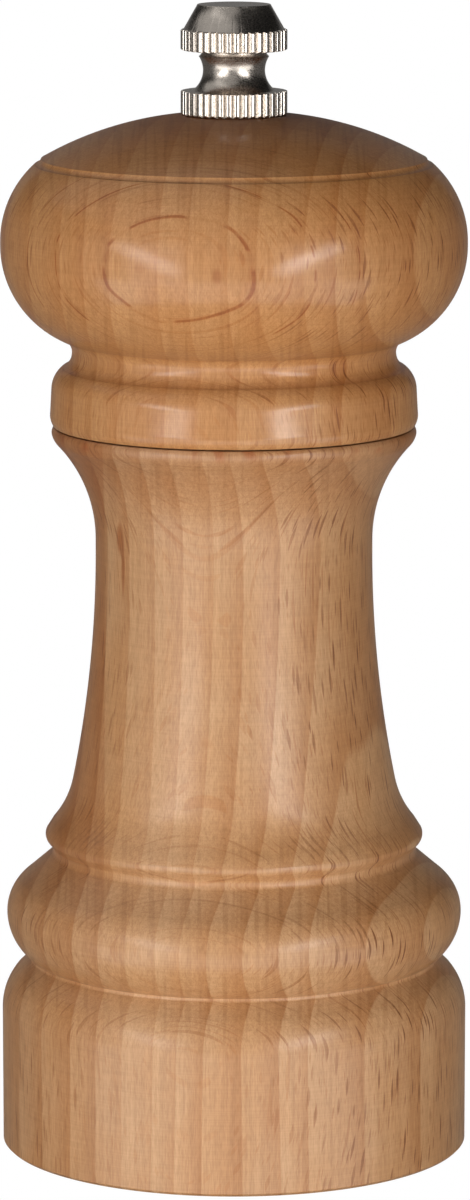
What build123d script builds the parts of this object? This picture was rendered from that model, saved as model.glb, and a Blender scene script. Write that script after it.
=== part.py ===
from build123d import *
import os
from math import cos, pi, radians, sin

# A turned beech pepper mill with a crank-free head, a knurled top nut and a burr mechanism.
# Millimetres, +Z up. The origin is the centre of the base, and the base rim rests on Z = 0.

# ---- Turned wood: main radii and heights -------------------------------------------------
BASE_R = 31.05            # straight foot of the body
BASE_EDGE = 0.4           # broken edge of the foot
BEAD_R, BEAD_Z = 30.36, 31.5
GROOVE_R, GROOVE_Z = 27.2, 25.4
NECK_R = 24.0             # short straight neck between the bead and the flare
NECK_LOW_Z, NECK_TOP_Z = 39.75, 40.8
WAIST_R = 18.35           # narrowest place of the body
WAIST_LOW_Z, WAIST_TOP_Z = 80.4, 81.8
BODY_TOP_Z = 96.8
JOINT_GAP = 0.2           # the shadow line between the body and the head
COLLAR_R = 24.29          # lower drum of the head
HEAD_NECK_R = 21.42
BULB_R, BULB_LOW_Z, BULB_TOP_Z = 30.75, 120.8, 121.3
HEAD_TOP_Z = 137.9        # small flat that the nut bears on
HEAD_FLAT_R = 7.3

# ---- Bores and seats in the wood ---------------------------------------------------------
CHAMBER_R = 13.7          # pepper chamber, bored up through the whole body
RECESS_R, RECESS_TOP_Z = 25.0, 13.0
FLANGE_SEAT_R = 19.2
TENON_R, TENON_LENGTH = 13.4, 12.0
HEAD_BORE_R = 3.6
PILOT_CLEARANCE = 0.05    # round a wood screw in its hole

# ---- Glide washer under the head ---------------------------------------------------------
GLIDE_R, GLIDE_BORE_R, GLIDE_T = 20.0, 14.0, 0.5
GLIDE_SEAT_R, GLIDE_SEAT_DEPTH = 20.3, 0.4

# ---- Shaft and its retaining clips -------------------------------------------------------
SHAFT_SIDE = 4.8
SHAFT_LOW_Z = 3.0
JOURNAL_R, JOURNAL_TOP_Z = 2.2, 12.55
THREAD_R, THREAD_LOW_Z, SHAFT_TOP_Z = 2.35, 131.0, 147.4
TIP_CHAMFER = 0.5
CLIP_T, CLIP_SLACK = 0.6, 0.03
LOWER_CLIP_Z, LOWER_GROOVE_R, LOWER_CLIP_R = 11.9, 1.75, 4.0
UPPER_CLIP_Z, UPPER_GROOVE_R, UPPER_CLIP_R = 27.1, 2.6, 4.4

# ---- Burrs -------------------------------------------------------------------------------
FLANGE_R, FLANGE_T = 19.0, 2.0
BARREL_R, STATOR_TOP_Z = 13.4, 29.0
FINE_TEETH, COARSE_ROTOR_TEETH, COARSE_STATOR_TEETH = 24, 6, 8
STATOR_FINE_TOP_Z = 16.5
ROTOR_LOW_Z, ROTOR_FINE_TOP_Z, ROTOR_TOP_Z = 12.6, 16.0, 27.0
SQUARE_CLEARANCE = 0.05   # each side of the shaft in the rotor
DRIVE_CLEARANCE = 0.1     # each side of the shaft in the drive plate

# ---- Spring, bridge and bush under the burrs ---------------------------------------------
THRUST_R, THRUST_BORE_R, THRUST_T, THRUST_TOP_Z = 6.2, 2.3, 0.7, 11.8
WIRE_R, COIL_R, COIL_TURNS = 0.45, 4.6, 3.5
STRAP_WIDTH, STRAP_T = 10.0, 1.2
BRIDGE_LEG_X, BRIDGE_SPAN_Z, BRIDGE_BEND_R = 13.4, 4.6, 1.4
BRIDGE_END_R = 24.3
BRIDGE_SCREW_X = 21.3
BUSH_BORE_R, BUSH_R, BUSH_FLANGE_R, BUSH_LOW_Z, BUSH_FLANGE_T = 2.28, 3.2, 5.6, 3.4, 0.6

# ---- Drive plate on the tenon ------------------------------------------------------------
PLATE_R, PLATE_T = 12.4, 1.2
PLATE_SCREW_X = 8.5

# ---- Wood screws: (shank radius, length, head radius, head height) -------------------------
PLATE_SCREW = (1.1, 8.0, 2.2, 1.2)
BRIDGE_SCREW = (1.2, 9.0, 2.4, 1.4)
SLOT_WIDTH, SLOT_DEPTH = 0.6, 0.6

# ---- Top nut -----------------------------------------------------------------------------
NUT_GAP = 0.05            # running clearance of the nut over the head's flat
NUT_TOP_Z = 152.4
NUT_TOP_R, NUT_CONE_R = 4.75, 6.6
KNURL_R, KNURL_ROOT_R, KNURL_RIDGES = 7.0, 6.62, 40
KNURL_GROOVE_SHARE = 0.3  # part of each ridge's pitch that is groove
NUT_NECK_R, NUT_LIP_R, NUT_FLARE_R = 4.06, 4.6, 5.5
NUT_STEP_Z = 141.1        # top of the lower knurl
NUT_BORE_R, NUT_BORE_TOP_Z = 2.45, 149.0
INSERT_R, INSERT_H = 3.3, 1.5

HEAD_LOW_Z = BODY_TOP_Z + JOINT_GAP
TENON_LOW_Z = HEAD_LOW_Z - TENON_LENGTH
NUT_LOW_Z = HEAD_TOP_Z + NUT_GAP
EAR_TOP_Z = RECESS_TOP_Z
EAR_LOW_Z = EAR_TOP_Z - STRAP_T


# ---- Helpers -----------------------------------------------------------------------------
def turned(*edges):
    """Solid of revolution about Z of a closed chain of edges drawn as (radius, height)."""
    return revolve(Plane.XZ * make_face(Curve() + list(edges)), Axis.Z)


def ring(outer_r, inner_r, low_z, high_z):
    """Flat ring about Z."""
    outline = Polyline((inner_r, low_z), (outer_r, low_z), (outer_r, high_z), (inner_r, high_z), close=True)
    return turned(outline)


def rod(radius, low_z, high_z):
    """Plain cylinder on Z."""
    return Pos(0, 0, low_z) * extrude(Circle(radius), high_z - low_z)


def square_rod(side, low_z, high_z):
    """Square bar on Z."""
    return Pos(0, 0, low_z) * extrude(Rectangle(side, side), high_z - low_z)


def star(teeth, tip_r, root_r, height, turn=0.0):
    """Face in the plane Z = height with tips and roots in turn, turned by some degrees."""
    step = pi / teeth
    corners = []
    for index in range(2 * teeth):
        radius = root_r if index % 2 else tip_r
        angle = index * step + radians(turn)
        corners.append((radius * cos(angle), radius * sin(angle), height))
    return make_face(Polyline(*corners, close=True))


def wood_screw(size, seat_z):
    """Pan head slotted screw on Z, head hanging below seat_z and shank rising above it."""
    shank_r, length, head_r, head_h = size
    crown = turned(
        Line((0, seat_z), (head_r, seat_z)),
        ThreePointArc((head_r, seat_z), (0.8 * head_r, seat_z - 0.7 * head_h), (0, seat_z - head_h)),
        Line((0, seat_z - head_h), (0, seat_z)),
    )
    taper_z = seat_z + 0.7 * length
    shank = turned(Polyline((0, seat_z), (shank_r, seat_z), (shank_r, taper_z), (0, seat_z + length), close=True))
    slot = Pos(0, 0, seat_z - head_h) * Box(4 * head_r, SLOT_WIDTH, 2 * SLOT_DEPTH)
    return crown + shank - slot


def pilot_hole(size, seat_z, x):
    """Hole in the wood that a screw of that size fills, at x."""
    shank_r, length, _, _ = size
    return Pos(x, 0, 0) * rod(shank_r + PILOT_CLEARANCE, seat_z, seat_z + length + PILOT_CLEARANCE)


def open_clip(outer_r, inner_r, low_z):
    """C-shaped retaining clip with its mouth towards +X."""
    mouth = Pos(outer_r, 0, low_z + CLIP_T / 2) * Box(2 * outer_r, 1.5 * inner_r, 2 * CLIP_T)
    return ring(outer_r, inner_r, low_z, low_z + CLIP_T) - mouth


# ---- Wood --------------------------------------------------------------------------------
def mill_body():
    """Turned body: foot, bead, flare, waist and rim, with its chamber, seats and recess."""
    foot = Polyline(
        (RECESS_R, 0), (BASE_R - BASE_EDGE, 0), (BASE_R, BASE_EDGE), (BASE_R, 18.6),
    )
    shoulder = Line((29.25, 23.33), (GROOVE_R, GROOVE_Z))
    shoulder_arc = SagittaArc((BASE_R, 18.6), (29.25, 23.33), -0.42)
    bead_low = TangentArc((BEAD_R, BEAD_Z), (GROOVE_R, GROOVE_Z), tangent=(0, -1))
    bead_top = TangentArc((BEAD_R, BEAD_Z), (27.92, 36.29), tangent=(0, 1))
    bead_cone = Polyline((27.92, 36.29), (24.3, 39.3), (NECK_R, NECK_LOW_Z), (NECK_R, NECK_TOP_Z), (25.05, 41.3))
    lip = SagittaArc((25.05, 41.3), (25.17, 42.27), -0.17)
    lip_edge = Line((25.17, 42.27), (24.26, 43.68))
    waist_low = TangentArc((WAIST_R, WAIST_LOW_Z), (21.5, 49.36), tangent=(0, -1))
    flare = TangentArc((21.5, 49.36), (24.26, 43.68), tangent=waist_low % 1)
    waist = Line((WAIST_R, WAIST_LOW_Z), (WAIST_R, WAIST_TOP_Z))
    cove = TangentArc((WAIST_R, WAIST_TOP_Z), (23.3, 94.45), tangent=(0, 1))
    rim_low = SagittaArc((23.3, 94.45), (24.1, 95.85), -0.12)
    rim_top = SagittaArc((24.1, 95.85), (23.8, BODY_TOP_Z), -0.12)
    seat_z = BODY_TOP_Z - GLIDE_SEAT_DEPTH
    flange_z = RECESS_TOP_Z + FLANGE_T
    inside = Polyline(
        (23.8, BODY_TOP_Z), (GLIDE_SEAT_R, BODY_TOP_Z), (GLIDE_SEAT_R, seat_z), (CHAMBER_R, seat_z),
        (CHAMBER_R, flange_z), (FLANGE_SEAT_R, flange_z), (FLANGE_SEAT_R, RECESS_TOP_Z),
        (RECESS_R, RECESS_TOP_Z), (RECESS_R, 0),
    )
    wood = turned(
        foot, shoulder_arc, shoulder, bead_low, bead_top, bead_cone, lip, lip_edge, flare,
        waist_low, waist, cove, rim_low, rim_top, inside,
    )
    for x in (-BRIDGE_SCREW_X, BRIDGE_SCREW_X):
        wood -= pilot_hole(BRIDGE_SCREW, EAR_LOW_Z, x)
    return wood


def mill_head():
    """Turned head: collar, neck, bulb, crease and dome, with the tenon and the shaft's bore."""
    collar_low = SagittaArc((23.9, HEAD_LOW_Z), (COLLAR_R, 98.7), -0.16)
    collar = Line((COLLAR_R, 98.7), (24.12, 101.8))
    collar_top = SagittaArc((24.12, 101.8), (22.7, 104.6), -0.36)
    neck_low = SagittaArc((22.7, 104.6), (HEAD_NECK_R, 106.3), 0.3)
    neck_top = SagittaArc((HEAD_NECK_R, 106.3), (22.15, 108.25), 0.3)
    bulb_low = TangentArc((BULB_R, BULB_LOW_Z), (22.15, 108.25), tangent=(0, -1))
    bulb = Line((BULB_R, BULB_LOW_Z), (BULB_R, BULB_TOP_Z))
    bulb_top = TangentArc((BULB_R, BULB_TOP_Z), (26.9, 131.0), tangent=(0, 1))
    crease = Polyline((26.9, 131.0), (25.4, 131.55), (25.25, 132.1), (25.05, 132.3))
    dome = SagittaArc((25.05, 132.3), (HEAD_FLAT_R, HEAD_TOP_Z), -0.97)
    inside = Polyline(
        (HEAD_FLAT_R, HEAD_TOP_Z), (HEAD_BORE_R, HEAD_TOP_Z), (HEAD_BORE_R, TENON_LOW_Z),
        (TENON_R, TENON_LOW_Z), (TENON_R, HEAD_LOW_Z), (23.9, HEAD_LOW_Z),
    )
    wood = turned(collar_low, collar, collar_top, neck_low, neck_top, bulb_low, bulb, bulb_top, crease, dome, inside)
    for x in (-PLATE_SCREW_X, PLATE_SCREW_X):
        wood -= pilot_hole(PLATE_SCREW, TENON_LOW_Z - PLATE_T, x)
    return wood


def glide_washer():
    """Thin washer round the tenon that the head turns on."""
    low_z = BODY_TOP_Z - GLIDE_SEAT_DEPTH + 0.03
    return ring(GLIDE_R, GLIDE_BORE_R, low_z, low_z + GLIDE_T)


# ---- Top nut -----------------------------------------------------------------------------
def knurl_section():
    """Cross-section of the knurling: wide flat ridges with narrow grooves between them."""
    pitch = 2 * pi / KNURL_RIDGES
    half_ridge = pitch * (1 - KNURL_GROOVE_SHARE) / 2
    corners = []
    for index in range(KNURL_RIDGES):
        middle = index * pitch
        for radius, angle in (
            (KNURL_R, middle - half_ridge), (KNURL_R, middle), (KNURL_R, middle + half_ridge),
            (KNURL_ROOT_R, middle + pitch / 2),
        ):
            corners.append((radius * cos(angle), radius * sin(angle)))
    return make_face(Polyline(*corners, close=True))


def top_nut():
    """Turned nut: lower knurl, flared neck, upper knurl and cone, with a blind bore."""
    edge = 0.3
    full_r = KNURL_R + 0.02
    lower = Polyline(
        (INSERT_R, NUT_LOW_Z), (full_r - 1.5 * edge, NUT_LOW_Z), (full_r, NUT_LOW_Z + 1.5 * edge),
        (full_r, NUT_STEP_Z - edge / 2), (full_r - edge / 2, NUT_STEP_Z), (NUT_FLARE_R, NUT_STEP_Z),
    )
    neck_low = ThreePointArc((NUT_FLARE_R, NUT_STEP_Z), (4.4, 142.5), (NUT_NECK_R, 143.85))
    neck_top = SagittaArc((NUT_NECK_R, 143.85), (NUT_LIP_R, 145.6), 0.12)
    upper = Polyline(
        (NUT_LIP_R, 145.6), (4.3, 145.9), (4.3, 146.4), (full_r - edge, 146.45), (full_r, 146.45 + edge),
        (full_r, 148.95), (full_r - edge, 149.15), (NUT_CONE_R, 149.2), (NUT_TOP_R, NUT_TOP_Z - 0.1),
        (NUT_TOP_R - 0.1, NUT_TOP_Z), (0, NUT_TOP_Z), (0, NUT_BORE_TOP_Z + 1.0), (NUT_BORE_R, NUT_BORE_TOP_Z),
        (NUT_BORE_R, NUT_LOW_Z + INSERT_H), (INSERT_R, NUT_LOW_Z + INSERT_H), (INSERT_R, NUT_LOW_Z),
    )
    blank = turned(lower, neck_low, neck_top, upper)
    knurling = Pos(0, 0, NUT_LOW_Z - 1) * extrude(knurl_section(), NUT_TOP_Z - NUT_LOW_Z + 2)
    return blank & knurling


def nut_lock_insert():
    """Nylon ring in the nut's mouth that keeps the nut from backing off."""
    return ring(INSERT_R, THREAD_R + 0.08, NUT_LOW_Z, NUT_LOW_Z + INSERT_H)


# ---- Shaft -------------------------------------------------------------------------------
def drive_shaft():
    """Square shaft with a round journal below, a threaded top and two clip grooves."""
    journal = rod(JOURNAL_R, SHAFT_LOW_Z, JOURNAL_TOP_Z)
    square = square_rod(SHAFT_SIDE, JOURNAL_TOP_Z, THREAD_LOW_Z)
    thread = rod(THREAD_R, THREAD_LOW_Z, SHAFT_TOP_Z)
    thread = chamfer(thread.faces().sort_by(Axis.Z)[-1].edges(), TIP_CHAMFER)
    shaft = journal + square + thread
    for clip_z, groove_r in ((LOWER_CLIP_Z, LOWER_GROOVE_R), (UPPER_CLIP_Z, UPPER_GROOVE_R)):
        shaft -= ring(SHAFT_SIDE, groove_r, clip_z - CLIP_SLACK, clip_z + CLIP_T + CLIP_SLACK)
    return shaft


def rotor_upper_clip():
    """Clip in the corners of the square shaft, on top of the rotor."""
    return open_clip(UPPER_CLIP_R, UPPER_GROOVE_R + CLIP_SLACK, UPPER_CLIP_Z)


def rotor_lower_clip():
    """Clip on the journal, under the rotor."""
    return open_clip(LOWER_CLIP_R, LOWER_GROOVE_R + CLIP_SLACK, LOWER_CLIP_Z)


def drive_plate():
    """Steel disc on the tenon whose square hole turns the shaft."""
    low_z = TENON_LOW_Z - PLATE_T
    plate = rod(PLATE_R, low_z, TENON_LOW_Z)
    plate -= square_rod(SHAFT_SIDE + 2 * DRIVE_CLEARANCE, low_z, TENON_LOW_Z)
    hole_r = PLATE_SCREW[0] + 2 * PILOT_CLEARANCE
    for x in (-PLATE_SCREW_X, PLATE_SCREW_X):
        plate -= Pos(x, 0, 0) * rod(hole_r, low_z, TENON_LOW_Z)
    return plate


def drive_plate_screw(x):
    """Screw that holds the drive plate to the tenon."""
    return Pos(x, 0, 0) * wood_screw(PLATE_SCREW, TENON_LOW_Z - PLATE_T)


# ---- Burrs -------------------------------------------------------------------------------
def stator_burr():
    """Fixed outer burr: flange, barrel, fine teeth below and a coarse mouth above."""
    flange_top_z = RECESS_TOP_Z + FLANGE_T
    blank = rod(FLANGE_R, RECESS_TOP_Z, flange_top_z) + rod(BARREL_R, flange_top_z, STATOR_TOP_Z)
    fine = loft(
        [star(FINE_TEETH, 12.75, 12.15, RECESS_TOP_Z), star(FINE_TEETH, 12.6, 11.95, STATOR_FINE_TOP_Z, 6)],
        ruled=True,
    )
    coarse = loft(
        [star(COARSE_STATOR_TEETH, 12.4, 11.8, STATOR_FINE_TOP_Z),
         star(COARSE_STATOR_TEETH, 12.9, 11.9, STATOR_TOP_Z, 20)],
        ruled=True,
    )
    return blank - fine - coarse


def rotor_burr():
    """Turning inner burr: a fluted cone over a finely toothed rim, on the square shaft."""
    fine = loft(
        [star(FINE_TEETH, 11.65, 11.0, ROTOR_LOW_Z), star(FINE_TEETH, 11.45, 10.8, ROTOR_FINE_TOP_Z, 6)],
        ruled=True,
    )
    coarse = loft(
        [star(COARSE_ROTOR_TEETH, 10.8, 7.6, ROTOR_FINE_TOP_Z),
         star(COARSE_ROTOR_TEETH, 5.6, 4.3, ROTOR_TOP_Z, 35)],
        ruled=True,
    )
    hole = square_rod(SHAFT_SIDE + 2 * SQUARE_CLEARANCE, ROTOR_LOW_Z, ROTOR_TOP_Z)
    return fine + coarse - hole


# ---- Under the burrs ---------------------------------------------------------------------
def thrust_washer():
    """Washer between the spring and the turning clip."""
    return ring(THRUST_R, THRUST_BORE_R, THRUST_TOP_Z - THRUST_T, THRUST_TOP_Z)


def burr_spring():
    """Coil spring that holds the rotor up against the fixed burr."""
    low_z = BRIDGE_SPAN_Z + STRAP_T / 2 + BUSH_FLANGE_T + WIRE_R
    high_z = THRUST_TOP_Z - THRUST_T - WIRE_R
    rise = high_z - low_z
    coil = Helix(rise / COIL_TURNS, rise, COIL_R)
    wire_plane = Plane(origin=coil @ 0, z_dir=coil % 0)
    return Pos(0, 0, low_z) * sweep(wire_plane * Circle(WIRE_R), path=coil, is_frenet=True)


def bridge():
    """Hat-shaped strap across the recess that clamps the fixed burr and carries the bush."""
    ear_z = EAR_TOP_Z - STRAP_T / 2
    middle = FilletPolyline(
        (-BRIDGE_END_R - 1, ear_z), (-BRIDGE_LEG_X, ear_z), (-BRIDGE_LEG_X, BRIDGE_SPAN_Z),
        (BRIDGE_LEG_X, BRIDGE_SPAN_Z), (BRIDGE_LEG_X, ear_z), (BRIDGE_END_R + 1, ear_z),
        radius=BRIDGE_BEND_R,
    )
    strap = extrude(Plane.XZ * trace(middle, STRAP_T), STRAP_WIDTH / 2, both=True)
    strap &= rod(BRIDGE_END_R, 0, EAR_TOP_Z + 1)
    strap -= rod(BUSH_R, 0, EAR_LOW_Z)
    for x in (-BRIDGE_SCREW_X, BRIDGE_SCREW_X):
        strap -= Pos(x, 0, 0) * rod(BRIDGE_SCREW[0] + 2 * PILOT_CLEARANCE, 0, EAR_TOP_Z + 1)
    return strap


def bridge_bushing():
    """Flanged bush in the bridge that the shaft's journal turns in, and the spring's lower seat."""
    flange_z = BRIDGE_SPAN_Z + STRAP_T / 2
    top_z = flange_z + BUSH_FLANGE_T
    return turned(Polyline(
        (BUSH_BORE_R, BUSH_LOW_Z), (BUSH_R, BUSH_LOW_Z), (BUSH_R, flange_z), (BUSH_FLANGE_R, flange_z),
        (BUSH_FLANGE_R, top_z), (BUSH_BORE_R, top_z), close=True,
    ))


def bridge_screw(x):
    """Screw that holds one ear of the bridge to the wood."""
    return Pos(x, 0, 0) * wood_screw(BRIDGE_SCREW, EAR_LOW_Z)


NODES = {
    "mill_body": mill_body(),
    "mill_head": mill_head(),
    "glide_washer": glide_washer(),
    "top_nut": top_nut(),
    "nut_lock_insert": nut_lock_insert(),
    "drive_shaft": drive_shaft(),
    "rotor_upper_clip": rotor_upper_clip(),
    "rotor_lower_clip": rotor_lower_clip(),
    "drive_plate": drive_plate(),
    "drive_plate_screw_left": drive_plate_screw(-PLATE_SCREW_X),
    "drive_plate_screw_right": drive_plate_screw(PLATE_SCREW_X),
    "stator_burr": stator_burr(),
    "rotor_burr": rotor_burr(),
    "thrust_washer": thrust_washer(),
    "burr_spring": burr_spring(),
    "bridge": bridge(),
    "bridge_bushing": bridge_bushing(),
    "bridge_screw_left": bridge_screw(-BRIDGE_SCREW_X),
    "bridge_screw_right": bridge_screw(BRIDGE_SCREW_X),
}

os.makedirs("parts", exist_ok=True)
for name, solid in NODES.items():
    solid.label = name
    export_step(solid, f"parts/{name}.step")
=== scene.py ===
"""Looks of a turned beech pepper mill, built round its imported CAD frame.

Metres, +Z up, the mill stands on Z = 0 and -Y is its front. Outlines are drawn in millimetres
as (radius, height), upwards along the outside, and scaled when they are turned.
"""
from math import asin, atan2, cos, floor, hypot, pi, radians, sin, sqrt, tan

import bpy
from mathutils import Matrix, Vector


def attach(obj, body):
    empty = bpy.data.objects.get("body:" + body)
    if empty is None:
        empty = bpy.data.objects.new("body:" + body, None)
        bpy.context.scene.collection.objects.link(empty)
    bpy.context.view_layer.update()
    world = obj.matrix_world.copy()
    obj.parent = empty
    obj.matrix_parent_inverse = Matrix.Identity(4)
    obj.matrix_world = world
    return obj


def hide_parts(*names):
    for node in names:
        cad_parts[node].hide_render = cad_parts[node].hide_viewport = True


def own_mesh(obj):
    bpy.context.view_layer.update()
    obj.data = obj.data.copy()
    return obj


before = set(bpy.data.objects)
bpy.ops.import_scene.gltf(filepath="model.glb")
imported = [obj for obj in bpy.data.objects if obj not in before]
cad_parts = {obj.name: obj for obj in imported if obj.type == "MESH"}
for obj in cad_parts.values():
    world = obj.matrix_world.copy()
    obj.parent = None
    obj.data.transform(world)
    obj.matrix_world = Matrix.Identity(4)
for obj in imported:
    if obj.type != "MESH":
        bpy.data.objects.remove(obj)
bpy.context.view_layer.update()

MM = 0.001
VERTICAL = (0, 1)

# ---- Turned wood ------------------------------------------------------------------------
ROUND_STEPS = 288            # faces round the wood
ARC_STEPS = 22               # faces along one arc of an outline
EDGE_ROUND = 0.14            # broken edges of the turned wood

BODY_TOP_Z, HEAD_LOW_Z, HEAD_TOP_Z = 96.8, 97.0, 137.9
WAIST_R, WAIST_LOW_Z, WAIST_TOP_Z = 18.35, 80.4, 81.8
BULB_R, BULB_LOW_Z, BULB_TOP_Z = 30.75, 120.8, 121.3
CHAMBER_R = 13.7
RECESS_R, RECESS_TOP_Z = 25.0, 13.0
FLANGE_SEAT_R, FLANGE_SEAT_Z = 19.2, 15.0
GLIDE_SEAT_R, GLIDE_SEAT_Z = 20.3, 96.4
TENON_R, TENON_LOW_Z = 13.4, 85.0
HEAD_BORE_R, HEAD_FLAT_R = 3.6, 7.3

# ---- Top nut ----------------------------------------------------------------------------
KNURL_R, KNURL_ROOT_R, KNURL_RIDGES = 7.0, 6.62, 40
NUT_LOW_Z, NUT_STEP_Z, NUT_TOP_Z = 137.95, 141.1, 152.4
NUT_BORE_R, NUT_BORE_TOP_Z = 2.45, 149.0
INSERT_R, INSERT_TOP_Z = 3.3, 139.45
# One pitch of the knurling: (place in the pitch, depth as a share of the groove).
KNURL_PITCH = (
    (0.0, 0.42), (0.04, 0.25), (0.10, 0.13), (0.20, 0.04), (0.35, 0.0), (0.50, 0.04),
    (0.60, 0.13), (0.66, 0.25), (0.70, 0.42), (0.77, 0.84), (0.85, 1.0), (0.93, 0.84),
)

# ---- Shaft and spring -------------------------------------------------------------------
SHAFT_STEPS = 120            # faces round the shaft
SHAFT_HALF, SHAFT_CORNER = 2.4, 0.25
SHAFT_LOW_Z, THREAD_LOW_Z, SHAFT_TOP_Z, TIP_CHAMFER = 3.0, 131.0, 147.4, 0.5
JOURNAL_R, JOURNAL_TOP_Z = 2.2, 12.55
LOWER_GROOVE = (1.75, 11.87, 12.53)    # radius, low and high edge
UPPER_GROOVE = (2.6, 27.07, 27.73)
THREAD_R, THREAD_DEPTH, THREAD_PITCH, THREAD_STEPS = 2.38, 0.40, 0.8, 8
WIRE_R, COIL_R, COIL_TURNS, COIL_STEPS = 0.45, 4.6, 3.5, 48
COIL_LOW_Z, COIL_TOP_Z, SPRING_TRAVEL = 6.25, 10.65, 1.2


# ---- Outlines ---------------------------------------------------------------------------
def leaving_bulge(start, end, tangent):
    """Bulge of the arc from start to end that leaves start along tangent."""
    run, rise = end[0] - start[0], end[1] - start[1]
    cross = run * tangent[1] - rise * tangent[0]
    along = run * tangent[0] + rise * tangent[1]
    return -hypot(run, rise) / 2 * tan(atan2(cross, along) / 2)


class Outline:
    """Chain of lines and arcs. A positive bulge stands off to the right of the way drawn."""

    def __init__(self, start):
        self.points = [start]

    def line(self, *points):
        self.points.extend(points)
        return self

    def arc(self, end, bulge):
        start = self.points[-1]
        run, rise = end[0] - start[0], end[1] - start[1]
        chord = hypot(run, rise)
        radius = (chord * chord / 4 + bulge * bulge) / (2 * bulge)
        off = (bulge - radius) / chord
        centre = ((start[0] + end[0]) / 2 + rise * off, (start[1] + end[1]) / 2 - run * off)
        sweep = 2 * asin(chord / 2 / radius)
        out_r, out_z = start[0] - centre[0], start[1] - centre[1]
        for step in range(1, ARC_STEPS + 1):
            turn = sweep * step / ARC_STEPS
            self.points.append((
                centre[0] + out_r * cos(turn) - out_z * sin(turn),
                centre[1] + out_r * sin(turn) + out_z * cos(turn),
            ))
        return self

    def arc_leaving(self, end, tangent=VERTICAL):
        return self.arc(end, leaving_bulge(self.points[-1], end, tangent))

    def arc_arriving(self, end, tangent=VERTICAL):
        back = (-tangent[0], -tangent[1])
        return self.arc(end, -leaving_bulge(end, self.points[-1], back))


def broken_edges(points, radius, least_turn=radians(14)):
    """The same closed outline with its sharp corners rounded off."""
    rounded = []
    count = len(points)
    for index in range(count):
        before, here, after = (Vector(points[(index + k) % count]) for k in (-1, 0, 1))
        arrive, leave = here - before, after - here
        turn = abs(arrive.angle_signed(leave)) if arrive.length and leave.length else 0
        if turn < least_turn:
            rounded.append(tuple(here))
            continue
        cut = min(radius * tan(turn / 2), 0.45 * arrive.length, 0.45 * leave.length)
        first, last = here - arrive.normalized() * cut, here + leave.normalized() * cut
        for share in (0, 0.25, 0.5, 0.75, 1):
            low, high = first.lerp(here, share), here.lerp(last, share)
            rounded.append(tuple(low.lerp(high, share)))
    return rounded


def body_outline():
    """Foot, shoulder, bead, lip, waist and rim outside; seats, chamber and recess inside."""
    tangent = 2 * atan2(21.5 - WAIST_R, WAIST_LOW_Z - 49.36)
    outline = Outline((RECESS_R, 0)).line((30.65, 0), (31.05, 0.4), (31.05, 18.6))
    outline.arc((29.25, 23.33), 0.42).line((27.45, 25.0)).arc((27.3, 25.55), -0.08)
    outline.arc_arriving((30.36, 31.5)).arc_leaving((27.92, 36.29))
    outline.line((24.5, 39.2)).arc((24.45, 40.7), -0.3).line((24.9, 41.2))
    outline.arc((25.1, 42.35), 0.16).line((24.26, 43.68))
    outline.arc_arriving((21.5, 49.36), (-sin(tangent), cos(tangent)))
    outline.arc_arriving((WAIST_R, WAIST_LOW_Z)).line((WAIST_R, WAIST_TOP_Z))
    outline.arc_leaving((23.3, 94.45)).arc((24.1, 95.85), 0.12).arc((23.8, BODY_TOP_Z), 0.12)
    outline.line(
        (GLIDE_SEAT_R, BODY_TOP_Z), (GLIDE_SEAT_R, GLIDE_SEAT_Z), (CHAMBER_R, GLIDE_SEAT_Z),
        (CHAMBER_R, FLANGE_SEAT_Z), (FLANGE_SEAT_R, FLANGE_SEAT_Z), (FLANGE_SEAT_R, RECESS_TOP_Z),
        (RECESS_R, RECESS_TOP_Z),
    )
    return broken_edges(outline.points, EDGE_ROUND)


def head_outline():
    """Collar, neck, bulb, crease and dome outside; bore and tenon inside."""
    outline = Outline((TENON_R, HEAD_LOW_Z)).line((23.9, HEAD_LOW_Z))
    outline.arc((24.29, 98.7), 0.16).line((24.12, 101.8)).arc((22.7, 104.6), 0.36)
    outline.arc((21.42, 106.3), -0.3).arc((22.15, 108.25), -0.3)
    outline.arc_arriving((BULB_R, BULB_LOW_Z)).line((BULB_R, BULB_TOP_Z))
    outline.arc_leaving((26.2, 131.45)).arc((25.35, 132.2), -0.16).line((25.0, 132.38))
    outline.arc((HEAD_FLAT_R, HEAD_TOP_Z), 0.97)
    outline.line((HEAD_BORE_R, HEAD_TOP_Z), (HEAD_BORE_R, TENON_LOW_Z), (TENON_R, TENON_LOW_Z))
    return broken_edges(outline.points, EDGE_ROUND)


def nut_outline():
    """Lower knurl, flared neck, upper knurl and cone outside; blind bore inside."""
    full_r = KNURL_R + 0.02
    outline = Outline((INSERT_R, NUT_LOW_Z)).line((full_r - 0.45, NUT_LOW_Z))
    outline.arc((full_r, NUT_LOW_Z + 0.45), 0.12).line((full_r, NUT_STEP_Z - 0.15))
    outline.arc((full_r - 0.15, NUT_STEP_Z), 0.04).line((5.5, NUT_STEP_Z))
    outline.arc_arriving((4.06, 143.85)).arc((4.6, 145.6), -0.12)
    outline.line((4.3, 145.9), (4.3, 146.4), (full_r - 0.3, 146.45))
    outline.arc((full_r, 146.75), 0.08).line((full_r, 148.95)).arc((full_r - 0.3, 149.15), 0.05)
    outline.line((6.6, 149.2), (4.85, NUT_TOP_Z - 0.12)).arc((4.7, NUT_TOP_Z), 0.04)
    outline.line(
        (0, NUT_TOP_Z), (0, NUT_BORE_TOP_Z + 1), (NUT_BORE_R, NUT_BORE_TOP_Z),
        (NUT_BORE_R, INSERT_TOP_Z), (INSERT_R, INSERT_TOP_Z),
    )
    return outline.points


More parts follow.
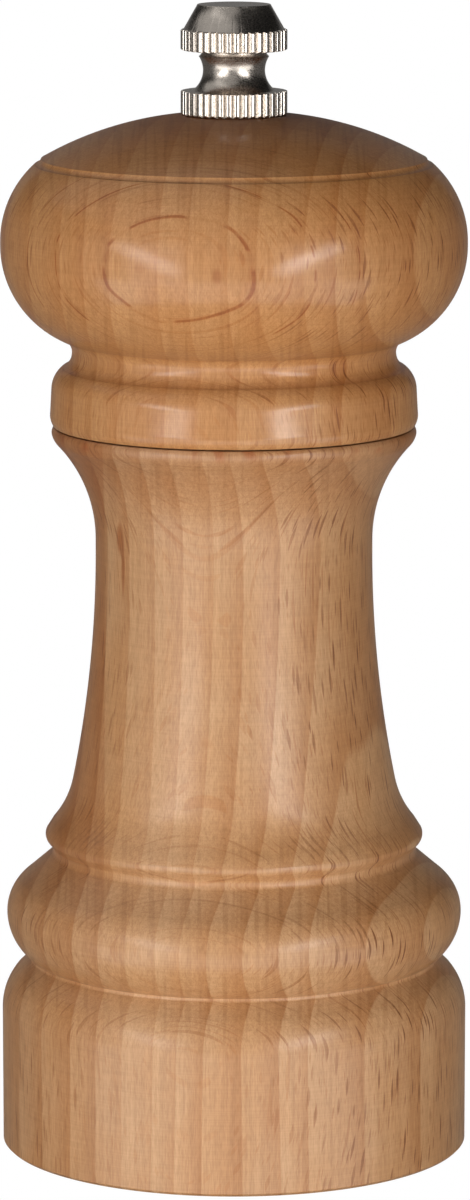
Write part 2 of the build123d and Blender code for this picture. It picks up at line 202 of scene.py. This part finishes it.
# ---- Meshes -----------------------------------------------------------------------------
def new_piece(name, vertices, faces, crisp_above=radians(50)):
    """Object with that mesh, smooth except at edges sharper than crisp_above."""
    mesh = bpy.data.meshes.new(name)
    mesh.from_pydata(vertices, [], faces)
    mesh.validate()
    mesh.polygons.foreach_set("use_smooth", [True] * len(mesh.polygons))
    mesh.set_sharp_from_angle(angle=crisp_above)
    piece = bpy.data.objects.new(name, mesh)
    bpy.context.scene.collection.objects.link(piece)
    return piece


def turned_piece(name, outline, angles, cap_radius=None):
    """Closed mesh of an outline turned about Z. cap_radius(angle) cuts the radius down."""
    vertices, rings = [], []
    for radius, height in outline:
        if radius < 1e-6:
            rings.append([len(vertices)])
            vertices.append((0, 0, height * MM))
            continue
        rings.append(list(range(len(vertices), len(vertices) + len(angles))))
        for angle in angles:
            here = min(radius, cap_radius(angle)) if cap_radius else radius
            vertices.append((here * cos(angle) * MM, here * sin(angle) * MM, height * MM))
    faces = []
    count = len(angles)
    for low, high in zip(rings, rings[1:] + rings[:1]):
        if len(low) == 1 and len(high) == 1:
            continue
        for k in range(count):
            after = (k + 1) % count
            if len(low) == 1:
                faces.append((low[0], high[after], high[k]))
            elif len(high) == 1:
                faces.append((low[k], low[after], high[0]))
            else:
                faces.append((low[k], low[after], high[after], high[k]))
    return new_piece(name, vertices, faces)


def even_angles(count):
    return [2 * pi * k / count for k in range(count)]


def knurl_angles():
    pitch = 2 * pi / KNURL_RIDGES
    return [(ridge + place) * pitch for ridge in range(KNURL_RIDGES) for place, _ in KNURL_PITCH]


def knurl_radius(angle):
    """Radius that the knurling leaves at an angle of knurl_angles()."""
    place = angle * KNURL_RIDGES / (2 * pi)
    place -= floor(place + 1e-6)
    depth = min(KNURL_PITCH, key=lambda step: abs(step[0] - place))[1]
    return KNURL_R - depth * (KNURL_R - KNURL_ROOT_R)


def stacked_piece(name, rings):
    """Closed mesh through rings of points that run the same way round."""
    count = len(rings[0])
    vertices = [tuple(k * MM for k in point) for ring in rings for point in ring]
    faces = [tuple(reversed(range(count))), tuple(range(len(vertices) - count, len(vertices)))]
    for low in range(0, len(vertices) - count, count):
        for k in range(count):
            after = (k + 1) % count
            faces.append((low + k, low + after, low + count + after, low + count + k))
    return new_piece(name, vertices, faces)


def square_radius(angle):
    """Radius of the rounded square at an angle."""
    fold = abs((angle + pi / 4) % (pi / 2) - pi / 4)
    inner = SHAFT_HALF - SHAFT_CORNER
    if SHAFT_HALF * tan(fold) <= inner:
        return SHAFT_HALF / cos(fold)
    reach, off = inner * sqrt(2), fold - pi / 4
    return reach * cos(off) + sqrt(SHAFT_CORNER ** 2 - (reach * sin(off)) ** 2)


def thread_radius(angle, height):
    """Radius of the screw thread, which runs out below and is chamfered at its tip."""
    place = (height / THREAD_PITCH - angle / (2 * pi)) % 1
    depth = THREAD_DEPTH * min(1, (height - THREAD_LOW_Z) / THREAD_PITCH)
    cut = max(0, 1.15 * abs(2 * place - 1) - 0.15)
    return min(THREAD_R - depth * cut, THREAD_R - TIP_CHAMFER + SHAFT_TOP_Z - height)


def shaft_rings():
    """Rings up the shaft: journal and its groove, square and its groove, thread."""
    angles = even_angles(SHAFT_STEPS)

    def ring(height, radius_at):
        radii = [radius_at(angle) for angle in angles]
        return [(r * cos(a), r * sin(a), height) for r, a in zip(radii, angles)]

    def round_ring(height, radius):
        return ring(height, lambda angle: radius)

    low_r, low_a, low_b = LOWER_GROOVE
    high_r, high_a, high_b = UPPER_GROOVE
    rings = [round_ring(SHAFT_LOW_Z, JOURNAL_R - 0.2), round_ring(SHAFT_LOW_Z + 0.2, JOURNAL_R)]
    rings += [round_ring(low_a, JOURNAL_R), round_ring(low_a, low_r), round_ring(low_b, low_r)]
    rings += [ring(JOURNAL_TOP_Z, square_radius), ring(high_a, square_radius)]
    rings += [ring(z, lambda angle: min(high_r, square_radius(angle))) for z in (high_a, high_b)]
    rings += [ring(high_b, square_radius), ring(THREAD_LOW_Z, square_radius)]
    step = THREAD_PITCH / THREAD_STEPS
    for k in range(round((SHAFT_TOP_Z - THREAD_LOW_Z) / step) + 1):
        height = THREAD_LOW_Z + k * step
        rings.append(ring(height, lambda angle: thread_radius(angle, height)))
    return rings


def spring_rings():
    """Round wire along the coil."""
    rings = []
    for k in range(round(COIL_TURNS * COIL_STEPS) + 1):
        turn = 2 * pi * k / COIL_STEPS
        rise = (COIL_TOP_Z - COIL_LOW_Z) / (COIL_TURNS * 2 * pi)
        outward = Vector((cos(turn), sin(turn), 0))
        along = Vector((-COIL_R * sin(turn), COIL_R * cos(turn), rise)).normalized()
        centre = outward * COIL_R + Vector((0, 0, COIL_LOW_Z + rise * turn))
        upward = outward.cross(along)
        rings.append([
            tuple(centre + WIRE_R * (outward * cos(a) + upward * sin(a))) for a in even_angles(12)
        ])
    return rings


# ---- Node materials ---------------------------------------------------------------------
class Shader:
    """Short ways to add nodes to one material."""

    def __init__(self, name):
        self.material = bpy.data.materials.new(name)
        self.material.use_nodes = True
        self.tree = self.material.node_tree
        self.surface = self.tree.nodes["Principled BSDF"]
        self.place = self.add("ShaderNodeTexCoord")

    def add(self, kind, **settings):
        node = self.tree.nodes.new(kind)
        for key, value in settings.items():
            setattr(node, key, value)
        return node

    def plug(self, socket, value):
        """Links a socket or sets a plain value."""
        if isinstance(value, bpy.types.NodeSocket):
            self.tree.links.new(value, socket)
        else:
            socket.default_value = value

    def math(self, operation, a, b=0.0, c=0.0):
        node = self.add("ShaderNodeMath", operation=operation)
        for socket, value in zip(node.inputs, (a, b, c)):
            self.plug(socket, value)
        return node.outputs[0]

    def span(self, value, low, high, out_low=0.0, out_high=1.0, smooth=True):
        """value from low..high to out_low..out_high, held at the ends."""
        node = self.add("ShaderNodeMapRange")
        if smooth:
            node.interpolation_type = "SMOOTHSTEP"
        for socket, number in zip(node.inputs, (value, low, high, out_low, out_high)):
            self.plug(socket, number)
        return node.outputs[0]

    def vector(self, x, y, z):
        node = self.add("ShaderNodeCombineXYZ")
        for socket, value in zip(node.inputs, (x, y, z)):
            self.plug(socket, value)
        return node.outputs[0]

    def scaled(self, scale):
        """Place on the piece, with scale features for each millimetre along each axis."""
        node = self.add("ShaderNodeVectorMath", operation="MULTIPLY")
        self.plug(node.inputs[0], self.place.outputs["Object"])
        node.inputs[1].default_value = tuple(features / MM for features in scale)
        return node.outputs[0]

    def noise(self, place, scale=1.0, detail=2.0, roughness=0.5):
        node = self.add("ShaderNodeTexNoise")
        self.plug(node.inputs["Vector"], place)
        node.inputs["Scale"].default_value = scale
        node.inputs["Detail"].default_value = detail
        node.inputs["Roughness"].default_value = roughness
        return node.outputs["Fac"]

    def mix(self, share, first, second, blend="MIX"):
        node = self.add("ShaderNodeMix", data_type="RGBA", blend_type=blend)
        self.plug(node.inputs["Factor"], share)
        self.plug(node.inputs[6], first)
        self.plug(node.inputs[7], second)
        return node.outputs[2]

    def bump(self, height, depth, strength):
        """Relief, with its depth in metres."""
        node = self.add("ShaderNodeBump")
        node.inputs["Strength"].default_value = strength
        node.inputs["Distance"].default_value = depth
        self.plug(node.inputs["Height"], height)
        self.plug(self.surface.inputs["Normal"], node.outputs["Normal"])

    def finish(self, **values):
        for key, value in values.items():
            self.plug(self.surface.inputs[key], value)
        return self.material


def rgb(red, green, blue):
    return (red, green, blue, 1.0)


# ---- Beech ------------------------------------------------------------------------------
RING_WIDTH = 4.55            # year rings, millimetres
# Rays and vessels: spacing across and up the grain in millimetres, least and most size.
BROAD_RAYS = (0.74, 9.0, 0.11, 0.26)
FINE_RAYS = (0.34, 5.0, 0.08, 0.24)
VESSELS = (0.95, 30.0, 0.03, 0.17)
RAY_SWAY, RAY_LIFT, LONG_RAY_SWAY = 3.5, 6.0, 1.2      # wander across or up, millimetres
WOOD_RELIEF = 0.02                                     # millimetres

# What each feature multiplies the colour of the wood by.
DARK_MOTTLE = (0.97, 0.91, 0.82)
LATE_WOOD = (0.80, 0.66, 0.52)
FIBRES = (0.78, 0.72, 0.66)
PORES = (0.74, 0.68, 0.62)
TURNING_MARKS = (0.87, 0.85, 0.82)
BROAD_RAY_ON_EDGE, BROAD_RAY_FLAT = (0.36, 0.19, 0.09), (0.96, 0.85, 0.72)
FINE_RAY_ON_EDGE, FINE_RAY_FLAT = (0.68, 0.52, 0.40), (0.96, 0.88, 0.78)
LONG_RAY = (0.70, 0.49, 0.31)
FLECK = (0.70, 0.50, 0.36)
DARK_STRIPE = (0.84, 0.72, 0.62)
# Painted shade on the body below its rim, where the head's collar overhangs it.
RIM_PAINTED_SHADE = (0.89, 0.83, 0.80)
RIM_STAINS = (0.86, 0.62, 0.48)
END_HATCHING = (0.84, 0.79, 0.74)


class Beech(Shader):
    """Satin lacquered beech, fibre along Z, with year rings across X and rays as thin plates.

    ray_turn is the angle of the plates to the X axis, lean is how far they lean back for each
    millimetre up, ring_x is where one year ring ends, ring_slope is how far the rings go across
    for each millimetre back, and seed moves the grain along.
    """

    def __init__(self, name, base, ray_turn, lean, ring_x, ring_slope, seed):
        super().__init__(name)
        self.lean, self.ring_x, self.ring_slope, self.seed = lean, ring_x, ring_slope, seed
        split = self.add("ShaderNodeSeparateXYZ")
        self.plug(split.inputs[0], self.place.outputs["Object"])
        self.x, self.y, self.z = (self.math("DIVIDE", axis, MM) for axis in split.outputs)
        turned_x = self.math("MULTIPLY", self.x, -sin(ray_turn))
        upright = self.math("MULTIPLY_ADD", self.y, -cos(ray_turn), turned_x)
        self.across = self.math("MULTIPLY_ADD", self.z, lean, upright)
        self.upward = self.facing((0, 0, 1), 1.0)
        self.flat_on = self.facing((-sin(ray_turn), -cos(ray_turn), 0), 3.0)
        mottle = self.span(self.grain(0.11, 0.11, 0.06, 3.0), 0.35, 0.65)
        darker = rgb(*(share * part for share, part in zip(base, DARK_MOTTLE)))
        self.colour = self.mix(mottle, rgb(*base), darker)

    def facing(self, direction, power):
        """How squarely the surface faces a direction, either way."""
        dot = self.add("ShaderNodeVectorMath", operation="DOT_PRODUCT")
        self.plug(dot.inputs[0], self.place.outputs["Normal"])
        dot.inputs[1].default_value = direction
        return self.math("POWER", self.math("ABSOLUTE", dot.outputs["Value"]), power)

    def grain(self, per_x, per_y, per_z, detail=2.0, roughness=0.5):
        """Noise with that many features for each millimetre along each axis."""
        place = self.vector(
            self.math("MULTIPLY_ADD", self.x, per_x, self.seed),
            self.math("MULTIPLY", self.y, per_y), self.math("MULTIPLY", self.z, per_z),
        )
        return self.noise(place, detail=detail, roughness=roughness)

    def multiply(self, share, tone):
        """Multiplies the colour by tone, as far as share says."""
        self.colour = self.mix(share, self.colour, tone, "MULTIPLY")

    def tint(self, share, factors):
        self.multiply(share, rgb(*factors))

    def rings(self):
        """Share of late wood: nothing at the start of a year ring, most at its crisp end."""
        drift = self.math("MULTIPLY", self.grain(0.09, 0.012, 0.006, 1.0), 1.7)
        from_ring = self.math("SUBTRACT", self.x, self.ring_x)
        place = self.math("MULTIPLY_ADD", self.y, -self.ring_slope, from_ring)
        ring = self.math("ADD", self.math("DIVIDE", place, RING_WIDTH), drift)
        saw = self.math("FRACT", self.math("ADD", ring, 20))
        rise = self.math("POWER", saw, 1.4)
        late = self.math("MULTIPLY", rise, self.span(saw, 0.95, 1.0, 1.0, 0.0))
        strength = self.span(self.grain(0.13, 0.02, 0.01, 0.0), 0.3, 0.7, 0.6, 1.0)
        return self.math("MULTIPLY", late, strength)

    def rays(self, across_step, up_step, least, most):
        """Flat spindles on edge along the radius, cut out by cells stretched up the grain."""
        sway = self.math("MULTIPLY", self.grain(0.03, 0.03, 0.04, 1.0), RAY_SWAY)
        bent = self.math("ADD", self.across, sway)
        lift = self.math("MULTIPLY_ADD", self.grain(0.08, 0.08, 0.02, 1.0), RAY_LIFT, self.z)
        place = self.vector(
            self.math("MULTIPLY_ADD", bent, 1 / across_step, self.seed),
            self.math("DIVIDE", lift, up_step), 0.0,
        )
        cells = self.add("ShaderNodeTexVoronoi", distance="MINKOWSKI", voronoi_dimensions="2D")
        self.plug(cells.inputs["Vector"], place)
        cells.inputs["Scale"].default_value = 1.0
        cells.inputs["Exponent"].default_value = 1.3
        chance = self.add("ShaderNodeSeparateColor")
        self.plug(chance.inputs[0], cells.outputs["Color"])
        size = self.span(chance.outputs[0], 0.0, 1.0, least, most, smooth=False)
        reach = self.math("DIVIDE", cells.outputs["Distance"], size)
        inside = self.span(reach, 0.7, 1.0, 1.0, 0.0)
        strength = self.span(chance.outputs[1], 0.0, 1.0, 0.5, 1.0, smooth=False)
        return self.math("MULTIPLY", inside, strength)

    def long_ray(self, across, low, high, thickness):
        """One long ray just under the front, cut flat, so that it shows as a broken ring."""
        middle, half = (low + high) / 2, (high - low) / 2
        sway = self.grain(0.10, 0.10, 0.10, 1.0)
        wander = self.math("MULTIPLY_ADD", sway, LONG_RAY_SWAY, self.across)
        centre = across + LONG_RAY_SWAY / 2 + self.lean * middle
        away = self.math("ABSOLUTE", self.math("SUBTRACT", wander, centre))
        line = self.span(away, 0.3 * thickness, thickness, 1.0, 0.0)
        off = self.math("ABSOLUTE", self.math("SUBTRACT", self.z, middle))
        within = self.span(off, half - 1.0, half, 1.0, 0.0)
        broken = self.span(self.grain(0.22, 0.22, 0.35, 1.0), 0.42, 0.52, 0.15, 1.0)
        return self.math("MULTIPLY", self.math("MULTIPLY", line, within), broken)

    def fleck(self, x, z, half_width, half_height, strength):
        """One soft oval fleck on the front."""
        off_x = self.math("DIVIDE", self.math("SUBTRACT", self.x, x), half_width)
        off_z = self.math("DIVIDE", self.math("SUBTRACT", self.z, z), half_height)
        away = self.math("MULTIPLY_ADD", off_x, off_x, self.math("MULTIPLY", off_z, off_z))
        inside = self.span(away, 0.0, 1.0, strength, 0.0)
        return self.math("MULTIPLY", inside, self.math("LESS_THAN", self.y, 0.0))

    def add_fibres(self):
        """Late wood, fibres, pores and the marks of turning. Gives their relief."""
        fibre = self.grain(2.4, 2.4, 0.10, 3.0, 0.6)
        pores = self.grain(7.0, 7.0, 0.8, 1.0)
        turning = self.grain(0.10, 0.10, 5.0, 2.0)
        self.tint(self.rings(), LATE_WOOD)
        self.tint(self.span(fibre, 0.3, 0.7, 0.0, 0.6), FIBRES)
        self.tint(self.span(pores, 0.35, 0.75, 0.0, 0.55), PORES)
        self.tint(self.span(turning, 0.35, 0.65, 0.0, 0.45), TURNING_MARKS)
        relief = self.math("MULTIPLY_ADD", pores, 0.5, self.math("MULTIPLY", fibre, 0.5))
        return self.math("MULTIPLY_ADD", turning, 0.25, relief)

    def add_rays(self):
        """Rays and vessels, fainter to the left and on end grain. Gives the broad rays."""
        to_right = self.span(self.x, -14.0, 8.0, 0.7, 1.0)
        depth = self.math("MULTIPLY", to_right, self.span(self.upward, 0.3, 0.9, 1.0, 0.35))
        broad, fine, vessels = (
            self.math("MULTIPLY", self.rays(*sizes), depth)
            for sizes in (BROAD_RAYS, FINE_RAYS, VESSELS)
        )
        broad_tone = self.mix(self.flat_on, rgb(*BROAD_RAY_ON_EDGE), rgb(*BROAD_RAY_FLAT))
        fine_tone = self.mix(self.flat_on, rgb(*FINE_RAY_ON_EDGE), rgb(*FINE_RAY_FLAT))
        self.multiply(fine, fine_tone)
        self.multiply(vessels, fine_tone)
        self.multiply(broad, broad_tone)
        return broad

    def add_dark_stripe(self, left_of):
        """Darker wood left of an X, strongest above the bead."""
        beyond = self.span(self.x, left_of - 0.15, left_of + 0.15, 1.0, 0.0)
        above_bead = self.span(self.z, 30.0, 45.0, 0.3, 1.0)
        self.tint(self.math("MULTIPLY", beyond, above_bead), DARK_STRIPE)

    def add_rim_shade_and_stains(self, top):
        """Painted shade below a rim, darker towards it, and stains along its edge."""
        # Painted shade, growing from 14 mm to 4 mm below the top.
        self.tint(self.span(self.z, top - 14.0, top - 4.0), RIM_PAINTED_SHADE)
        stains = self.span(self.grain(0.30, 0.30, 0.15, 1.0), 0.56, 0.66)
        near_top = self.span(self.z, top - 2.0, top - 0.5)
        self.tint(self.math("MULTIPLY", stains, near_top), RIM_STAINS)

    def add_end_grain(self, end_tint):
        """Hatching and darker wood where the surface faces up or down. Gives its share."""
        hatching = self.span(self.grain(1.5, 0.06, 0.03, 1.0), 0.48, 0.66)
        sloping = self.span(self.upward, 0.2, 0.9, 0.3, 0.9)
        self.tint(self.math("MULTIPLY", hatching, sloping), END_HATCHING)
        end_grain = self.math("POWER", self.upward, 16.0)
        self.tint(end_grain, end_tint)
        return end_grain


def beech(name, end_tint, coat_roughness, long_rays=(), flecks=(), rim_z=None, dark_x=None, **run):
    """Lacquered beech. run is its base colour and how its grain runs, as Beech takes them."""
    wood = Beech(name, **run)
    relief = wood.add_fibres()
    broad = wood.add_rays()
    for ray in long_rays:
        wood.tint(wood.long_ray(*ray), LONG_RAY)
    for fleck in flecks:
        wood.tint(wood.fleck(*fleck), FLECK)
    if dark_x:
        wood.add_dark_stripe(dark_x)
    # Painted shade and stains below the body's rim.
    if rim_z:
        wood.add_rim_shade_and_stains(rim_z)
    end_grain = wood.add_end_grain(end_tint)
    wood.bump(wood.math("MULTIPLY_ADD", broad, -0.3, relief), WOOD_RELIEF * MM, 0.5)
    return wood.finish(**{
        "Base Color": wood.colour, "Roughness": 0.55, "Specular IOR Level": 0.3,
        "Coat Weight": wood.span(end_grain, 0.0, 1.0, 0.45, 0.08),
        "Coat Roughness": coat_roughness, "Coat IOR": 1.5,
    })


# ---- Metals and nylon -------------------------------------------------------------------
def metal(name, base, roughness, relief, grain_scale, mottle):
    """Metal whose roughness and colour vary a little, with fine grain as relief.

    relief is in millimetres, grain_scale is features for each millimetre along each axis, and
    mottle is how much darker the darkest patches are.
    """
    shader = Shader(name)
    place = shader.scaled(grain_scale)
    fine = shader.noise(place, detail=3.0)
    broad = shader.noise(place, scale=0.15, detail=2.0)
    darker = tuple(part * (1 - mottle) for part in base)
    colour = shader.mix(shader.span(broad, 0.35, 0.65), rgb(*base), rgb(*darker))
    shader.bump(fine, relief * MM, 0.5)
    return shader.finish(**{
        "Base Color": colour, "Metallic": 1.0,
        "Roughness": shader.span(fine, 0.3, 0.7, roughness * 0.8, roughness * 1.25),
    })


def nylon(name, base):
    """Natural nylon, slightly mottled and translucent."""
    shader = Shader(name)
    fine = shader.noise(shader.scaled((1, 1, 1)), scale=3.0, detail=3.0)
    colour = shader.mix(fine, rgb(*base), rgb(*(part * 0.9 for part in base)))
    shader.bump(fine, 0.01 * MM, 0.4)
    return shader.finish(**{
        "Base Color": colour, "Roughness": 0.5, "Subsurface Weight": 0.2, "Subsurface Scale": 0.002,
    })


# ---- Pieces -----------------------------------------------------------------------------
def dress(node, material):
    """Gives a CAD node its material."""
    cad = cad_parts[node]
    cad.data.materials.clear()
    cad.data.materials.append(material)


def put(piece, body, slot, material, *nodes):
    """Gives a piece its material and its body, and hides the CAD nodes that it stands for. slot is not
    used.
    """
    piece.data.materials.append(material)
    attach(piece, body)
    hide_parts(*nodes)


wood_body = beech(
    "wood_body", base=(0.53, 0.308, 0.153), end_tint=(0.80, 0.72, 0.64), coat_roughness=0.28,
    ray_turn=radians(12), lean=0.05, ring_x=-1.7, ring_slope=0.35, seed=0.37,
    flecks=[(-14.9, 83.4, 0.6, 2.8, 1.0), (-14.5, 79.5, 0.3, 5.0, 1.0)],
    rim_z=BODY_TOP_Z, dark_x=-17.0,
)
wood_head = beech(
    "wood_head", base=(0.51, 0.258, 0.101), end_tint=(0.62, 0.49, 0.39), coat_roughness=0.18,
    ray_turn=radians(14), lean=-0.03, ring_x=-1.0, ring_slope=0.2, seed=4.61,
    long_rays=[
        (29.1, 110.5, 130.0, 0.14), (25.6, 112.0, 132.0, 0.11), (21.5, 114.0, 132.0, 0.10),
    ],
    flecks=[(-2.2, 120.2, 0.9, 1.3, 0.6), (-12.0, 121.0, 0.9, 0.9, 0.3)],
)
nickel = metal("nickel", (0.58, 0.52, 0.46), 0.27, 0.012, (5, 5, 12), 0.08)
aluminium = metal("aluminium", (0.60, 0.61, 0.62), 0.42, 0.004, (8, 8, 0.5), 0.08)
zinc = metal("zinc_steel", (0.62, 0.64, 0.66), 0.3, 0.005, (2, 2, 2), 0.12)
burr_steel = metal("burr_steel", (0.20, 0.20, 0.21), 0.4, 0.01, (2, 2, 2), 0.2)
spring_steel = metal("spring_steel", (0.52, 0.52, 0.54), 0.25, 0.003, (3, 3, 3), 0.1)
brass = metal("brass", (0.75, 0.56, 0.25), 0.25, 0.003, (2, 2, 20), 0.08)
nylon_white = nylon("nylon", (0.82, 0.80, 0.74))

put(turned_piece("mill_body_wood", body_outline(), even_angles(ROUND_STEPS)),
    "body", "wood_body", wood_body, "mill_body")
put(turned_piece("mill_head_wood", head_outline(), even_angles(ROUND_STEPS)),
    "head", "wood_head", wood_head, "mill_head")
put(turned_piece("top_nut_turned", nut_outline(), knurl_angles(), knurl_radius),
    "nut", "nickel", nickel, "top_nut")
put(stacked_piece("drive_shaft_threaded", shaft_rings()), "shaft", "aluminium", aluminium, "drive_shaft")
spring = stacked_piece("burr_spring_coil", spring_rings())
put(spring, "body", "spring_steel", spring_steel, "burr_spring")
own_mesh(spring)

CARRIED = (
    (nylon_white, "glide_washer", "nut_lock_insert"),
    (spring_steel, "rotor_upper_clip", "rotor_lower_clip"),
    (zinc, "drive_plate", "drive_plate_screw_left", "drive_plate_screw_right", "thrust_washer"),
    (zinc, "bridge", "bridge_screw_left", "bridge_screw_right"),
    (burr_steel, "stator_burr", "rotor_burr"),
    (brass, "bridge_bushing"),
)
for material, *nodes in CARRIED:
    for node in nodes:
        dress(node, material)


# ---- Sweep, light and camera ------------------------------------------------------------
KEY_DISTANCE = 0.45          # metres from the mill's axis to the large soft boxes
LOW_HEIGHT = -0.14           # the low boxes light the undersides, from below the table's level
MID_HEIGHT = 0.07            # middle of the mill, which the high boxes aim at
SIDE_LIGHT, TOP_LIGHT = (0.12, 0.12, 0.12), (0.01, 0.01, 0.01)


def glowing(name, vertices, faces, radiance, seen_directly):
    """White staging that lights nothing. It is seen either directly or only in reflections."""
    mesh = bpy.data.meshes.new(name)
    mesh.from_pydata(vertices, [], faces)
    piece = bpy.data.objects.new(name, mesh)
    bpy.context.scene.collection.objects.link(piece)
    mesh.materials.append(Shader(name).finish(**{
        "Base Color": rgb(0, 0, 0), "Specular IOR Level": 0.0,
        "Emission Color": rgb(1, 1, 1), "Emission Strength": radiance,
    }))
    piece.visible_camera = seen_directly
    piece.visible_glossy = not seen_directly
    piece.visible_diffuse = False
    piece.visible_transmission = False
    piece.visible_shadow = False


def sweep(radius, wall):
    """White floor running into a wall all round, which only makes the background."""
    rim = [(radius * cos(a), radius * sin(a)) for a in even_angles(96)]
    vertices = [(x, y, 0) for x, y in rim] + [(x, y, wall) for x, y in rim]
    count = len(rim)
    faces = [tuple(range(count))]
    faces += [(k, (k + 1) % count, count + (k + 1) % count, count + k) for k in range(count)]
    glowing("sweep", vertices, faces, 1.0, True)


def back_wall(radius, low, high, half_angle, radiance):
    """White wall curved round the back, which only shows as the sheen along the mill's edges."""
    steps = 24
    angles = [pi / 2 + half_angle * (2 * k / steps - 1) for k in range(steps + 1)]
    vertices = [(radius * cos(a), radius * sin(a), z) for z in (low, high) for a in angles]
    faces = [(k, k + 1, steps + k + 2, steps + k + 1) for k in range(steps)]
    glowing("back_wall", vertices, faces, radiance, False)


def soft_box(
        name, azimuth, distance, height, size, radiance,
        roll=0.0, aim=None, mirrored=True, lights=True):
    """Soft box facing the mill's axis, at its own height or at aim. azimuth 0 is the front.

    It shows in reflections if mirrored, and lights matt surfaces if lights.
    """
    light = bpy.data.lights.new(name, "AREA")
    light.shape = "RECTANGLE"
    light.size, light.size_y = size
    light.energy = radiance * pi * size[0] * size[1]
    box = bpy.data.objects.new(name, light)
    turn = radians(azimuth)
    box.location = (distance * sin(turn), -distance * cos(turn), height)
    towards = Vector((0, 0, height if aim is None else aim)) - box.location
    aimed = towards.to_track_quat("-Z", "Y").to_matrix().to_4x4()
    rolled = aimed @ Matrix.Rotation(radians(roll), 4, "Z")
    box.matrix_world = Matrix.Translation(box.location) @ rolled
    box.visible_camera = False
    box.visible_glossy = mirrored
    box.visible_diffuse = lights
    bpy.context.scene.collection.objects.link(box)


def surroundings():
    """World: some light from below and from the sides, and little from the top."""
    world = bpy.data.worlds.new("studio")
    bpy.context.scene.world = world
    world.use_nodes = True
    nodes, links = world.node_tree.nodes, world.node_tree.links
    place = nodes.new("ShaderNodeTexCoord")
    split = nodes.new("ShaderNodeSeparateXYZ")
    height = nodes.new("ShaderNodeMapRange")
    ramp = nodes.new("ShaderNodeValToRGB")
    links.new(place.outputs["Generated"], split.inputs[0])
    links.new(split.outputs["Z"], height.inputs[0])
    height.inputs[1].default_value = -1.0
    links.new(height.outputs[0], ramp.inputs["Fac"])
    links.new(ramp.outputs["Color"], nodes["Background"].inputs["Color"])
    side, top = ramp.color_ramp.elements
    side.position, side.color = 0.52, rgb(*SIDE_LIGHT)
    top.position, top.color = 0.60, rgb(*TOP_LIGHT)


def camera():
    """Long lens in front of the mill, looking down on it by just under 10 degrees."""
    distance, tilt, aim = 0.8098, radians(9.74), Vector((0.00013, 0, 0.0734))
    data = bpy.data.cameras.new("camera")
    data.lens, data.sensor_width = 182.88, 36.0
    data.clip_start, data.clip_end = 0.05, 50.0
    cam = bpy.data.objects.new("camera", data)
    cam.location = aim + distance * Vector((0, -cos(tilt), sin(tilt)))
    cam.rotation_euler = (aim - cam.location).to_track_quat("-Z", "Y").to_euler()
    bpy.context.scene.collection.objects.link(cam)
    bpy.context.scene.camera = cam


sweep(radius=5.0, wall=3.0)
back_wall(radius=1.5, low=-1.2, high=1.2, half_angle=radians(25), radiance=0.2)
surroundings()
soft_box("box_left", -38, KEY_DISTANCE, 0.10, (0.22, 0.30), 1.8)
soft_box("box_right", 38, KEY_DISTANCE, 0.10, (0.22, 0.30), 1.4)
soft_box("hot_left", -42, 0.42, 0.13, (0.30, 0.07), 5.2, roll=-35)
soft_box("hot_right", 36, 0.42, 0.13, (0.30, 0.07), 7.0, roll=35)
soft_box("shine_left", -39, 0.40, 0.13, (0.15, 0.05), 3.2, roll=-35, lights=False)
soft_box("shine_right", 32, 0.40, 0.125, (0.12, 0.06), 7.0, roll=35, lights=False)
for number, azimuth in enumerate((-55, -20, 20, 55)):
    soft_box("low_%d" % number, azimuth, KEY_DISTANCE, LOW_HEIGHT, (0.26, 0.24), 2.5)
soft_box("low_front", 0, KEY_DISTANCE, LOW_HEIGHT, (0.06, 0.24), 1.5)
soft_box("side_left", -68, KEY_DISTANCE, 0.11, (0.16, 0.34), 0.45)
soft_box("front", 0, 0.9, 0.10, (0.5, 0.5), 0.9, mirrored=False)
soft_box("front_high", -30, 0.8, 0.60, (1.3, 0.9), 0.38, aim=MID_HEIGHT)
soft_box("top", -90, 0.35, 0.75, (0.9, 0.9), 0.52, aim=MID_HEIGHT)
soft_box("back", 180, 0.7, 0.10, (0.40, 0.40), 2.2, mirrored=False)
camera()
bpy.context.scene.view_settings.view_transform = "Standard"
